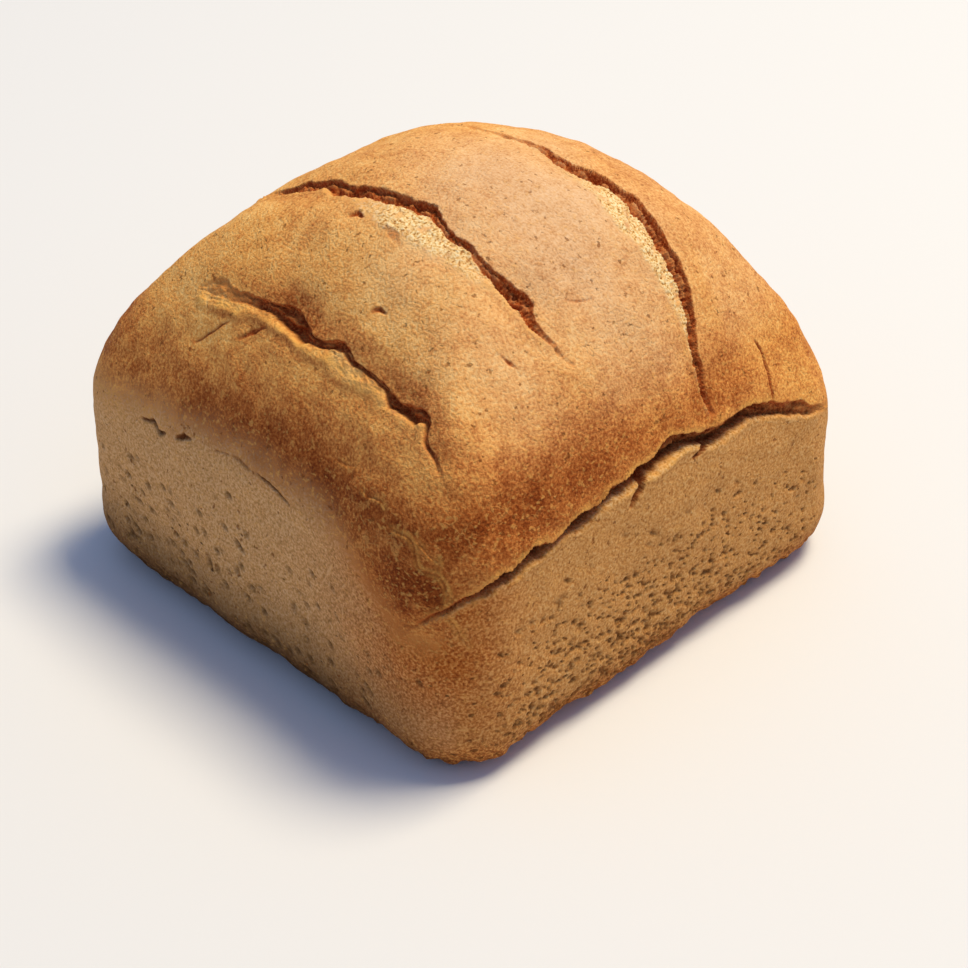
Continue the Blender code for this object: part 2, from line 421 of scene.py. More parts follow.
@dataclass(frozen=True)
class Hairline:
    """Fine crack or nick in the crust, given by the places along it."""

    places: tuple[tuple[float, float, float], ...]
    width: float = 0.7 * MM
    depth: float = 1.3 * MM
    lip: float = 0.0

    def tear(self) -> Tear:
        """Turns the crack into a narrow tear that closes at both ends.

        Returns:
            The tear.
        """
        ends = (0, len(self.places) - 1)
        stations = [
            (*place, self.width * (0.6 if index in ends else 1.0), 0.4 * MM,
             self.depth * (0.4 if index in ends else 1.0), 0.0, self.lip)
            for index, place in enumerate(self.places)
        ]
        return Tear("hairline", tuple(stations), rib=0.0, rag=0.90 * MM, end_fade=1.0 * MM,
                    near_wall=0.35 * MM, far_wall=0.35 * MM, full_depth=1.5 * MM,
                    dark=0.5 if self.lip else 1.0, far_highlight=2.3 if self.lip else 0.0,
                    lip_width=0.75 * MM,
                    reach=4.0 * MM, fibre=0.1 * MM, samples=40)


@dataclass(frozen=True)
class PoreField:
    """Larger open pores of one tin side, where the crumb's bubbles met the tin."""

    centre: tuple[float, float]
    outward: tuple[float, float]
    count: int
    lowest: float = 3.0 * MM
    highest: float = 46.0 * MM
    reach: float = 62.0 * MM
    smallest: float = 0.28 * MM
    largest: float = 0.92 * MM
    stretch: float = 1.4
    tilt: float = 0.35
    sink: float = 1.1
    seed: int = 1


class Side(Enum):
    """The four upright sides of the loaf and their larger pores."""

    FRONT = PoreField(centre=(0.002, -0.070), outward=(0.0, -1.0), count=820, seed=3)
    LEFT = PoreField(centre=(-0.071, 0.0), outward=(-1.0, 0.0), count=420, seed=5)
    BACK = PoreField(centre=(0.0, 0.070), outward=(0.0, 1.0), count=300, seed=7)
    RIGHT = PoreField(centre=(0.071, 0.0), outward=(1.0, 0.0), count=260, seed=9)


END_SLASH = Tear(
    name="end slash",
    stations=(
        (-0.0514, 0.0310, 0.0810, 0.0010, 0.0030, 0.0003, 0.0, 0.0003),
        (-0.0512, 0.0270, 0.0825, 0.0026, 0.0026, 0.0007, 0.0, 0.0005),
        (-0.0508, 0.0210, 0.0835, 0.0028, 0.0022, 0.0009, 0.0, 0.0006),
        (-0.0506, 0.0130, 0.0840, 0.0022, 0.0020, 0.0015, 0.0, 0.0006),
        (-0.0505, 0.0070, 0.0840, 0.0020, 0.0016, 0.0030, 0.0, 0.0005),
        (-0.0510, 0.0020, 0.0850, 0.0044, 0.0012, 0.0050, 0.0, 0.0005),
        (-0.0522, -0.0030, 0.0850, 0.0038, 0.0012, 0.0046, 0.0, 0.0005),
        (-0.0530, -0.0080, 0.0840, 0.0021, 0.0016, 0.0028, 0.0, 0.0004),
        (-0.0520, -0.0130, 0.0850, 0.0016, 0.0030, 0.0024, 0.0, 0.0004),
        (-0.0520, -0.0170, 0.0850, 0.0020, 0.0040, 0.0026, 0.1, 0.0004),
        (-0.0530, -0.0220, 0.0840, 0.0012, 0.0040, 0.0019, 0.1, 0.0004),
        (-0.0530, -0.0280, 0.0830, 0.0012, 0.0030, 0.0019, 0.1, 0.0003),
        (-0.0540, -0.0330, 0.0810, 0.0020, 0.0014, 0.0030, 0.1, 0.0002),
        (-0.0534, -0.0390, 0.0800, 0.0034, 0.0009, 0.0042, 0.1, 0.0002),
        (-0.0537, -0.0440, 0.0800, 0.0018, 0.0006, 0.0028, 0.1, 0.0002),
        (-0.0560, -0.0460, 0.0770, 0.0008, 0.0005, 0.0018, 0.1, 0.0001),
        (-0.0565, -0.0500, 0.0750, 0.0008, 0.0004, 0.0016, 0.1, 0.0000),
        (-0.0575, -0.0530, 0.0720, 0.0005, 0.0004, 0.0000, 0.1, 0.0000),
    ),
    far_lip=0.2 * MM,
    overhang=0.2 * MM,
    valley=0.5 * MM,
    rib=0.55,
    far_lip_shade=0.8,
    shelf=0.15,
    fibre=0.20 * MM,
    lip_width=1.5 * MM,
    rag=0.90 * MM,
)
MIDDLE_SLASH = Tear(
    name="middle slash",
    stations=(
        (-0.0275, 0.0400, 0.0940, 0.0022, 0.0010, 0.0000, 0.1, 0.0000),
        (-0.0258, 0.0290, 0.0985, 0.0030, 0.0010, 0.0024, 0.1, 0.0002),
        (-0.0240, 0.0190, 0.1020, 0.0034, 0.0012, 0.0028, 0.1, 0.0002),
        (-0.0250, 0.0090, 0.1040, 0.0032, 0.0014, 0.0030, 0.2, 0.0002),
        (-0.0245, 0.0010, 0.1050, 0.0030, 0.0046, 0.0028, 0.5, 0.0001),
        (-0.0228, -0.0060, 0.1060, 0.0030, 0.0080, 0.0032, 0.9, 0.0000),
        (-0.0228, -0.0130, 0.1060, 0.0027, 0.0082, 0.0030, 1.0, 0.0000),
        (-0.0242, -0.0200, 0.1050, 0.0018, 0.0076, 0.0025, 1.0, 0.0000),
        (-0.0253, -0.0270, 0.1040, 0.0011, 0.0058, 0.0019, 0.9, 0.0000),
        (-0.0260, -0.0340, 0.1010, 0.0013, 0.0036, 0.0020, 0.6, 0.0001),
        (-0.0250, -0.0380, 0.0990, 0.0028, 0.0012, 0.0034, 0.3, 0.0002),
        (-0.0242, -0.0420, 0.0970, 0.0037, 0.0010, 0.0040, 0.2, 0.0002),
        (-0.0250, -0.0460, 0.0940, 0.0014, 0.0010, 0.0022, 0.3, 0.0002),
        (-0.0240, -0.0490, 0.0900, 0.0008, 0.0008, 0.0013, 0.4, 0.0001),
        (-0.0230, -0.0520, 0.0870, 0.0005, 0.0005, 0.0009, 0.4, 0.0000),
        (-0.0210, -0.0550, 0.0830, 0.0004, 0.0005, 0.0000, 0.3, 0.0000),
    ),
    far_lip=0.3 * MM,
    overhang=0.3 * MM,
    valley=1.0 * MM,
    rib=0.50,
    rag=0.85 * MM,
)
SIDE_SLASH = Tear(
    name="side slash",
    stations=(
        (0.0125, 0.0200, 0.1060, 0.0008, 0.0010, 0.0000, 0.0, 0.0000),
        (0.0140, 0.0040, 0.1080, 0.0012, 0.0010, 0.0009, 0.1, 0.0000),
        (0.0152, -0.0120, 0.1080, 0.0016, 0.0014, 0.0016, 0.2, 0.0001),
        (0.0144, -0.0200, 0.1070, 0.0034, 0.0022, 0.0032, 0.3, 0.0001),
        (0.0180, -0.0240, 0.1060, 0.0040, 0.0064, 0.0038, 0.7, 0.0000),
        (0.0205, -0.0270, 0.1040, 0.0038, 0.0086, 0.0036, 1.0, 0.0000),
        (0.0212, -0.0310, 0.1020, 0.0036, 0.0090, 0.0034, 1.0, 0.0000),
        (0.0200, -0.0360, 0.1000, 0.0036, 0.0090, 0.0034, 1.0, 0.0000),
        (0.0202, -0.0410, 0.0960, 0.0034, 0.0086, 0.0034, 1.0, 0.0000),
        (0.0200, -0.0460, 0.0920, 0.0032, 0.0076, 0.0034, 1.0, 0.0000),
        (0.0192, -0.0500, 0.0860, 0.0028, 0.0060, 0.0032, 1.0, 0.0001),
        (0.0178, -0.0540, 0.0810, 0.0022, 0.0042, 0.0030, 0.9, 0.0001),
        (0.0163, -0.0570, 0.0770, 0.0016, 0.0024, 0.0026, 0.6, 0.0002),
        (0.0148, -0.0600, 0.0710, 0.0020, 0.0010, 0.0030, 0.4, 0.0002),
        (0.0140, -0.0620, 0.0660, 0.0012, 0.0010, 0.0024, 0.3, 0.0001),
        (0.0140, -0.0640, 0.0610, 0.0010, 0.0007, 0.0012, 0.2, 0.0000),
    ),
    far_lip=0.4 * MM,
    overhang=0.3 * MM,
    valley=0.8 * MM,
    rib=0.75,
    rag=0.85 * MM,
)
FRONT_TEAR = Tear(
    name="front tear",
    stations=(
        (-0.0685, -0.0530, 0.0400, 0.0004, 0.0006, 0.0000, 0.2, 0.0000),
        (-0.0680, -0.0560, 0.0420, 0.0006, 0.0007, 0.0010, 0.2, 0.0001),
        (-0.0650, -0.0600, 0.0455, 0.0009, 0.0007, 0.0017, 0.2, 0.0001),
        (-0.0610, -0.0640, 0.0490, 0.0014, 0.0007, 0.0024, 0.2, 0.0001),
        (-0.0550, -0.0660, 0.0513, 0.0030, 0.0008, 0.0035, 0.2, 0.0001),
        (-0.0500, -0.0670, 0.0525, 0.0038, 0.0008, 0.0043, 0.2, 0.0002),
        (-0.0430, -0.0670, 0.0533, 0.0035, 0.0008, 0.0042, 0.2, 0.0002),
        (-0.0380, -0.0670, 0.0540, 0.0020, 0.0008, 0.0030, 0.2, 0.0001),
        (-0.0330, -0.0660, 0.0540, 0.0030, 0.0008, 0.0037, 0.2, 0.0001),
        (-0.0270, -0.0660, 0.0542, 0.0037, 0.0009, 0.0045, 0.2, 0.0001),
        (-0.0210, -0.0660, 0.0560, 0.0027, 0.0014, 0.0038, 0.3, 0.0001),
        (-0.0150, -0.0660, 0.0568, 0.0034, 0.0013, 0.0040, 0.3, 0.0002),
        (-0.0050, -0.0650, 0.0575, 0.0046, 0.0013, 0.0048, 0.3, 0.0003),
        (0.0020, -0.0650, 0.0588, 0.0042, 0.0012, 0.0044, 0.3, 0.0003),
        (0.0080, -0.0650, 0.0578, 0.0028, 0.0011, 0.0030, 0.5, 0.0002),
        (0.0120, -0.0650, 0.0555, 0.0036, 0.0012, 0.0040, 0.5, 0.0002),
        (0.0190, -0.0650, 0.0547, 0.0050, 0.0011, 0.0052, 0.3, 0.0001),
        (0.0250, -0.0650, 0.0553, 0.0044, 0.0010, 0.0048, 0.2, 0.0001),
        (0.0310, -0.0650, 0.0543, 0.0030, 0.0010, 0.0034, 0.2, 0.0001),
        (0.0380, -0.0650, 0.0518, 0.0032, 0.0009, 0.0020, 0.2, 0.0001),
        (0.0450, -0.0660, 0.0485, 0.0032, 0.0009, 0.0018, 0.2, 0.0001),
        (0.0510, -0.0660, 0.0460, 0.0020, 0.0007, 0.0014, 0.2, 0.0001),
        (0.0570, -0.0640, 0.0430, 0.0008, 0.0007, 0.0000, 0.2, 0.0000),
    ),
    far_lip=0.6 * MM,
    overhang=0.4 * MM,
    far_highlight=0.7,
    rib=0.30,
    fill=0.20,
    rag=0.80 * MM,
)
SLASHES = (END_SLASH, MIDDLE_SLASH, SIDE_SLASH, FRONT_TEAR)
SKIN_SPLIT = {"width": 0.3 * MM, "depth": 0.4 * MM}
HAIRLINES = (
    Hairline(((-0.0068, -0.0655, 0.0572), (-0.0100, -0.0662, 0.0550), (-0.0120, -0.0667, 0.0525),
              (-0.0140, -0.0669, 0.0505)), width=1.5 * MM, depth=2.2 * MM),
    Hairline(((0.014, -0.066, 0.055), (0.011, -0.066, 0.054), (0.007, -0.066, 0.053)),
             width=1.3 * MM, depth=2.0 * MM),
    Hairline(((0.036, -0.059, 0.068), (0.038, -0.060, 0.065), (0.038, -0.062, 0.061),
              (0.037, -0.064, 0.057), (0.037, -0.065, 0.054))),
    Hairline(((-0.055, 0.018, 0.079), (-0.057, 0.022, 0.076), (-0.059, 0.026, 0.072))),
    Hairline(((-0.054, 0.007, 0.082), (-0.055, 0.010, 0.080), (-0.056, 0.013, 0.077)),
             width=1.1 * MM),
    Hairline(((-0.015, -0.046, 0.094), (-0.012, -0.047, 0.093), (-0.008, -0.048, 0.092)),
             width=0.5 * MM, depth=0.5 * MM),
    Hairline(((-0.0355, -0.0475, 0.0895), (-0.0345, -0.0490, 0.0882), (-0.0336, -0.0503, 0.0870)),
             width=0.5 * MM, depth=0.8 * MM),
    Hairline(((-0.068, 0.036, 0.051), (-0.068, 0.032, 0.052), (-0.068, 0.030, 0.050),
              (-0.068, 0.028, 0.051)), width=1.0 * MM, depth=2.0 * MM),
    Hairline(((-0.068, 0.023, 0.052), (-0.068, 0.021, 0.053), (-0.068, 0.019, 0.053)),
             width=1.1 * MM, depth=1.8 * MM),
    Hairline(((-0.068, 0.010, 0.054), (-0.068, 0.006, 0.055))),
    Hairline(((-0.067, 0.004, 0.055), (-0.068, -0.001, 0.055)), width=0.9 * MM),
    Hairline(((-0.068, -0.004, 0.055), (-0.068, -0.009, 0.054), (-0.068, -0.015, 0.052))),
    Hairline(((-0.064, -0.036, 0.065), (-0.064, -0.038, 0.064), (-0.064, -0.042, 0.065),
              (-0.065, -0.044, 0.064)), **SKIN_SPLIT, lip=0.12 * MM),
    Hairline(((-0.066, -0.046, 0.061), (-0.066, -0.049, 0.061), (-0.065, -0.052, 0.061),
              (-0.066, -0.053, 0.059), (-0.067, -0.055, 0.055), (-0.065, -0.058, 0.055),
              (-0.064, -0.060, 0.052), (-0.065, -0.061, 0.047)),
             **SKIN_SPLIT, lip=0.15 * MM),
    Hairline(((-0.065, -0.053, 0.061), (-0.065, -0.056, 0.059), (-0.064, -0.058, 0.057),
              (-0.065, -0.058, 0.055)), **SKIN_SPLIT, lip=0.12 * MM),
    Hairline(((-0.065, -0.060, 0.045), (-0.064, -0.062, 0.043), (-0.063, -0.063, 0.040),
              (-0.061, -0.064, 0.037)), **SKIN_SPLIT, lip=0.12 * MM),
    Hairline(((-0.063, -0.026, 0.067), (-0.063, -0.029, 0.067), (-0.063, -0.032, 0.068)),
             **SKIN_SPLIT, lip=0.12 * MM),
    Hairline(((-0.0318, 0.0020, 0.1030), (-0.0305, 0.0008, 0.1034), (-0.0311, -0.0010, 0.1034)),
             width=1.2 * MM, depth=1.8 * MM),
    Hairline(((-0.0452, -0.0190, 0.0926), (-0.0443, -0.0202, 0.0936), (-0.0445, -0.0220, 0.0932)),
             width=1.0 * MM, depth=1.3 * MM),
    Hairline(((-0.0311, -0.0082, 0.1037), (-0.0324, -0.0118, 0.1030), (-0.0334, -0.0154, 0.1022)),
             width=1.6 * MM, depth=0.5 * MM),
    Hairline(((-0.0604, 0.0077, 0.0710), (-0.0590, 0.0070, 0.0733)), depth=1.0 * MM),
)


@dataclass
class Crust:
    """Skin of the loaf: a grid settled on its form, then torn, pitted and browned."""

    form: LoafForm
    grid_cuts: int = 47
    swell: float = 1.1 * MM
    swell_size: float = 30.0 * MM
    lump: float = 0.55 * MM
    lump_size: float = 11.0 * MM
    wrinkle: float = 0.25 * MM
    wrinkle_size: float = 4.2 * MM
    foot_rag: float = 1.8 * MM
    foot_rag_size: float = 2.8 * MM
    foot_rag_height: float = 10.0 * MM
    plain_foot: float = 1.5 * MM
    pored_height: float = 36.0 * MM
    pored_reach: float = 62.0 * MM
    painted_lip_shade_share: float = 0.42
    masks: dict[str, Array] = field(default_factory=dict)

    def block(self) -> bpy.types.Object:
        """Cuts a cube of the loaf's size into an even grid.

        Returns:
            The new object, with its place in its mesh.
        """
        height = self.form.shoulder_height + self.form.crown_rise
        bpy.ops.object.select_all(action="DESELECT")
        bpy.ops.mesh.primitive_cube_add(size=1.0, location=(0.0, 0.0, height / 2.0))
        loaf = bpy.context.active_object
        loaf.name = loaf.data.name = "loaf_crust"
        loaf.scale = (2.0 * self.form.half_length, 2.0 * self.form.half_width, height)
        bpy.ops.object.transform_apply(location=True, rotation=True, scale=True)
        bpy.ops.object.mode_set(mode="EDIT")
        bpy.ops.mesh.select_all(action="SELECT")
        bpy.ops.mesh.subdivide(number_cuts=self.grid_cuts)
        bpy.ops.object.mode_set(mode="OBJECT")
        return loaf

    @staticmethod
    def rows(parts: bpy.types.bpy_prop_collection, name: str) -> Array:
        """Reads one vector of every vertex or face.

        Args:
            parts: the vertices or faces of a mesh.
            name: the vector's name in Blender, such as "co" or "center".

        Returns:
            One row for each of them.
        """
        flat = np.empty(len(parts) * 3, np.float32)
        parts.foreach_get(name, flat)
        return flat.reshape(-1, 3).astype(np.float64)

    def settle(self, mesh: bpy.types.Mesh) -> None:
        """Moves every vertex of the mesh onto the loaf's form.

        Args:
            mesh: the mesh.
        """
        settled = self.form.settled(self.rows(mesh.vertices, "co"))
        mesh.vertices.foreach_set("co", settled.astype(np.float32).ravel())
        mesh.update()

    def cut_finer(self, loaf: bpy.types.Object, wanted: Array) -> None:
        """Cuts the wanted faces once more each way and settles the new vertices.

        Args:
            loaf: the crust so far.
            wanted: one truth value for each face.
        """
        bpy.context.tool_settings.mesh_select_mode = (False, False, True)
        bpy.ops.object.mode_set(mode="EDIT")
        bpy.ops.mesh.select_all(action="DESELECT")
        bpy.ops.object.mode_set(mode="OBJECT")
        loaf.data.polygons.foreach_set("select", wanted)
        bpy.ops.object.mode_set(mode="EDIT")
        bpy.ops.mesh.subdivide(number_cuts=1, ngon=False)
        bpy.ops.object.mode_set(mode="OBJECT")
        self.settle(loaf.data)

    def torn_faces(self, mesh: bpy.types.Mesh, slope_share: float, margin: float) -> Array:
        """Finds the faces that lie in or beside a tear.

        Args:
            mesh: the settled grid.
            slope_share: how much of each torn slope counts.
            margin: how far beside it counts.

        Returns:
            One truth value for each face.
        """
        centres = self.rows(mesh.polygons, "center")
        normals = self.form.normals(centres)
        torn = np.zeros(len(centres), bool)
        for tear in (*SLASHES, *(hairline.tear() for hairline in HAIRLINES)):
            reading = tear.read(self.form, centres, normals)
            low = -reading.gap / 2.0 - slope_share * reading.slope - margin
            high = reading.gap / 2.0 + margin
            inside = (reading.offset > low) & (reading.offset < high) & (reading.depth > 0.0)
            torn[reading.at] |= inside
        return torn

    def refine(self, loaf: bpy.types.Object) -> None:
        """Cuts the grid finer where the crust shows fine relief.

        Args:
            loaf: the settled grid.
        """
        self.cut_finer(loaf, self.rows(loaf.data.polygons, "center")[:, 2] > self.plain_foot)
        x, y, z = self.rows(loaf.data.polygons, "center").T
        pored = (y < -0.062) & (np.abs(x) < self.pored_reach)
        pored &= (z > 2.0 * MM) & (z < self.pored_height)
        self.cut_finer(loaf, self.torn_faces(loaf.data, 1.0, 1.8 * MM) | pored)
        self.cut_finer(loaf, self.torn_faces(loaf.data, 0.25, 0.7 * MM))

    def uneven(self, points: Array) -> Array:
        """Swells, lumps, wrinkles and ragged foot of the crust.

        Args:
            points: places on the form.

        Returns:
            Heights above the form.
        """
        form = self.form
        height = self.swell * waves(points, self.swell_size)
        height += self.lump * waves(points, self.lump_size)
        foot = 1.0 - eased(points[:, 2] / self.foot_rag_height)
        front = eased(-points[:, 1] / form.half_width)
        height += self.foot_rag * foot * (0.3 + 0.7 * front) * waves(points, self.foot_rag_size)
        height += self.wrinkle * waves(points, self.wrinkle_size, 3.0)
        height += 0.4 * self.wrinkle * waves(points, self.wrinkle_size / 2.0, 7.0)
        return height * eased((points[:, 2] + form.foot_trim) / (3.5 * MM) + 0.25)

    def pores(self, side: Side, points: Array, tree: KDTree) -> tuple[Array, Array]:
        """Opens the larger pores of one side.

        Args:
            side: the side.
            points: places on the form.
            tree: the same places, for a search by distance.

        Returns:
            Heights, zero or less, and how far inside a pore each place lies, 0 to 1.
        """
        pores = side.value
        random = np.random.default_rng(pores.seed)
        outward = np.array([*pores.outward, 0.0])
        level = np.cross((0.0, 0.0, 1.0), outward)
        height = np.zeros(len(points))
        inside = np.zeros(len(points))
        spread = pores.reach * (2.0 * random.beta(1.5, 2.2, pores.count) - 1.0)
        rise = pores.lowest + (pores.highest - pores.lowest) * random.beta(1.1, 2.2, pores.count)
        share = random.beta(1.1, 3.4, pores.count)
        size = pores.smallest + (pores.largest - pores.smallest) * share
        tilt = random.normal(0.0, pores.tilt, pores.count)
        middles = np.array([*pores.centre, 0.0]) + level * spread[:, None]
        middles[:, 2] = rise
        middles = self.form.settled(middles)
        for middle, radius, turn in zip(middles, size, tilt):
            found = tree.find_range(middle, 2.2 * radius * pores.stretch)
            index = np.array([item[1] for item in found], int)
            if not len(index):
                continue
            apart = points[index] - middle
            flat = apart @ level
            up = apart[:, 2]
            long = (flat * math.cos(turn) + up * math.sin(turn)) / (radius * pores.stretch)
            short = (up * math.cos(turn) - flat * math.sin(turn)) / radius
            open_ = eased(1.35 - np.hypot(long, short))
            height[index] = np.minimum(height[index], -pores.sink * radius * open_)
            inside[index] = np.maximum(inside[index], open_)
        return height, inside

    def seam_height(self, points: Array) -> Array:
        """Height at which the tin side ends and the risen crown begins.

        Args:
            points: places on the form.

        Returns:
            Heights.
        """
        x, y, _ = points.T
        front = np.array(FRONT_TEAR.stations)
        at_front = np.interp(x, front[:, 0], front[:, 2])
        turned = np.where(np.abs(x) > np.abs(y), y, x)
        elsewhere = 0.057 - 0.008 * (turned / 0.065) ** 2
        elsewhere -= 0.014 * eased((-x - 0.050) / 0.010) * eased((-y - 0.028) / 0.025)
        is_front = eased((-y - np.abs(x) * 0.93) / 4.0 / MM + 0.5)
        return elsewhere + (at_front - elsewhere) * is_front

    def browning(self, points: Array) -> Array:
        """How brown the crown is baked: most along the shoulders, least in the middle.

        Args:
            points: places on the form.

        Returns:
            One value of 0 to 1 for each place.
        """
        x, y, z = points.T
        # Bands along the shoulders over the -X end and over the front, fading along them.
        left = bump((z - 0.0608) / 0.0125) * eased((-x - 0.035) / 0.025)
        left *= 0.95 - 0.42 * eased((y - 0.005) / 0.030) - 0.12 * eased((-y - 0.036) / 0.022)
        front = bump((z - 0.064) / 0.012) * eased((-y - 0.040) / 0.020)
        front *= 0.97 - 0.42 * eased((x + 0.038) / 0.035) - 0.48 * eased((x - 0.020) / 0.015)
        # The corner between them is browner low down and paler where it turns to the crown.
        corner = 1.05 * bump(np.hypot(x + 0.067, y + 0.053) / 0.018) * bump((z - 0.052) / 0.015)
        hidden = 0.55 * bump((z - 0.065) / 0.012) * eased((np.maximum(x, y) - 0.035) / 0.025)
        hidden *= 1.0 - 0.8 * eased((-y - 0.015) / 0.025)
        band = np.maximum.reduce([left, front, hidden])
        turn = bump(np.hypot(x + 0.058, y + 0.047) / 0.018) * eased((z - 0.062) / 0.008)
        band = np.maximum(band * (1.0 - 0.45 * turn), corner)
        right = eased((x - 0.014) / 0.020)
        brown = 0.20 + 0.12 * right + 0.56 * band * (1.0 + 0.25 * waves(points, 13.0 * MM, 6.0))
        return brown + 0.09 * waves(points, 30.0 * MM, 8.0) + 0.08 * waves(points, 8.0 * MM, 1.0)

    def paint(self, points: Array) -> None:
        """Fills the masks that the finish reads, apart from the tears' own.

        Args:
            points: places on the form.
        """
        x, y, z = points.T
        # The tin side ends at the seam: sharply along the front tear, softly elsewhere.
        seam = self.seam_height(points)
        front = eased((-y - 0.050) / 0.014)
        blend = (15.0 - 11.0 * front) * MM
        ragged = 2.4 * MM * waves(points, 8.0 * MM, 5.0)
        self.masks["side"] = 1.0 - eased((z - seam + ragged) / blend + 0.5)
        self.masks["brown"] = np.clip(self.browning(points), 0.0, 1.0)
        # A rusty rim round the foot, a rust-brown near corner, and painted shade low on the ends and
        # back.
        low = 1.0 - eased((z - 0.004) / (10.0 * MM + 6.0 * MM * waves(points, 6.0 * MM, 2.0)))
        self.masks["foot"] = low
        corner = np.hypot(x + 0.065, y + 0.059) + 0.004 * waves(points, 9.0 * MM, 12.0)
        rust = bump(corner / (0.025 - 0.010 * front))
        self.masks["rust"] = rust * (0.50 + 0.50 * eased((z - 0.008) / 0.025))
        painted_foot_shade = (1.0 - eased((z - 0.001) / 0.030)) * (1.0 - 0.8 * front)
        self.masks["painted_foot_shade"] = painted_foot_shade * (1.0 - 0.45 * eased((-y - 0.025) / 0.025))
        # The crown is palest and pinkest between the middle and the side slash.
        middle = np.hypot((x + 0.003) / 0.029, (y + 0.028) / 0.034)
        pink = bump(middle + 0.3 * waves(points, 15.0 * MM, 14.0))
        near = 0.45 * bump(np.hypot((x + 0.034) / 0.016, (y + 0.047) / 0.020))
        lobe = 0.35 * eased((x - 0.020) / 0.010) * eased((0.020 - y) / 0.020)
        self.masks["pink"] = np.maximum.reduce([pink, near, lobe]) * eased((z - 0.064) / 0.014)
        self.masks["end"] = eased((np.abs(x) - np.abs(y) - 0.002) / 0.006 + 0.5)
        # Pores thin out upwards, and the skin is crackled round the near corner's shoulder.
        dense = eased((0.047 - z) / 0.026) * (0.75 + 0.6 * waves(points, 16.0 * MM, 13.0))
        dense *= 1.0 - 0.7 * eased((x - 0.034) / 0.020) * front
        self.masks["porous"] = np.clip(dense * (1.0 - 0.3 * self.masks["end"]), 0.0, 1.0)
        near = bump(np.hypot(x + 0.061, y + 0.047) / 0.024) * bump((z - 0.062) / 0.020)
        self.masks["crackle"] = np.clip(1.3 * near, 0.0, 1.0)

    def relief(self, points: Array) -> Array:
        """Moves places on the form to the finished surface and fills the masks.

        Args:
            points: places on the form.

        Returns:
            Places on the crust.
        """
        normals = self.form.normals(points)
        self.paint(points)
        height = self.uneven(points)
        moved = points.copy()
        marks = ("hollow", "crumb", "painted_highlight", "painted_lip_shade")
        finish = {name: np.zeros(len(points)) for name in (*marks, "pore")}
        for tear in (*SLASHES, *(hairline.tear() for hairline in HAIRLINES)):
            reading = tear.read(self.form, points, normals)
            opening = tear.opened(reading, points[reading.at])
            LOG.info("%s: %d vertices beside it", tear.name, len(reading.at))
            height[reading.at] += opening.height
            moved[reading.at] -= reading.sideways * opening.shift[:, None]
            for name in marks:
                mask = finish[name]
                mask[reading.at] = np.maximum(mask[reading.at], getattr(opening, name))
        tree = KDTree(len(points))
        for index, place in enumerate(points):
            tree.insert(place, index)
        tree.balance()
        for side in Side:
            sunk, inside = self.pores(side, points, tree)
            height += sunk
            finish["pore"] = np.maximum(finish["pore"], inside)
        # The painted shade by the lips is added to the brown mask.
        browned_and_shaded = self.masks["brown"] + self.painted_lip_shade_share * finish.pop("painted_lip_shade")
        self.masks["brown"] = np.clip(browned_and_shaded, 0.0, 1.0)
        self.masks.update(finish)
        return moved + normals * height[:, None]

    def fit(self, points: Array) -> Array:
        """Stands the crust on the floor, centred, within the box of the solid.

        Args:
            points: places on the crust.

        Returns:
            The same places, moved and at most slightly shrunk.
        """
        low, high = (np.array(corner) for corner in CAD_BOX)
        lowest, highest = points.min(axis=0), points.max(axis=0)
        middle = (lowest + highest) / 2.0
        scale = np.minimum(1.0, (high - low) / (highest - lowest))
        points = (points - middle) * (scale[0], scale[1], 1.0) + (low + high) / 2.0 * (1, 1, 0)
        points[:, 2] = points[:, 2] + middle[2]
        points[:, 2] = np.maximum(points[:, 2], 0.0)
        points[:, 2] *= min(1.0, high[2] / points[:, 2].max())
        return points

    def build(self) -> bpy.types.Object:
        """Models the crust.

        Returns:
            The finished object, with its masks as attributes.
        """
        loaf = self.block()
        self.settle(loaf.data)
        self.refine(loaf)
        points = self.rows(loaf.data.vertices, "co")
        moved = self.fit(self.relief(points))
        loaf.data.vertices.foreach_set("co", moved.astype(np.float32).ravel())
        for name, values in self.masks.items():
            attribute = loaf.data.attributes.new(name, "FLOAT", "POINT")
            attribute.data.foreach_set("value", values.astype(np.float32))
        loaf.data.update()
        loaf.data.shade_smooth()
        triangles = sum(len(face.vertices) - 2 for face in loaf.data.polygons)
        LOG.info("crust: %d triangles", triangles)
        return loaf


def linear(colour: str) -> tuple[float, float, float, float]:
    """Turns an sRGB hex colour into the linear values that shaders use.

    Args:
        colour: such as "#D49C5F".

    Returns:
        Red, green, blue and alpha.
    """
    parts = [int(colour[at : at + 2], 16) / 255.0 for at in (1, 3, 5)]
    values = [part / 12.92 if part <= 0.04045 else ((part + 0.055) / 1.055) ** 2.4 for part in parts]
    return (*values, 1.0)


Socket = bpy.types.NodeSocket
Colour = Socket | tuple[float, ...]
TIMES = {"operation": "MULTIPLY", "use_clamp": True}
MINUS = {"operation": "SUBTRACT", "use_clamp": True}
TIMES_PLUS = {"operation": "MULTIPLY_ADD", "use_clamp": True}
MULTIPLY_ADD = {"operation": "MULTIPLY_ADD"}
MORE = {"operation": "MAXIMUM", "use_clamp": True}
BLEND = {"data_type": "RGBA", "blend_type": "MIX"}


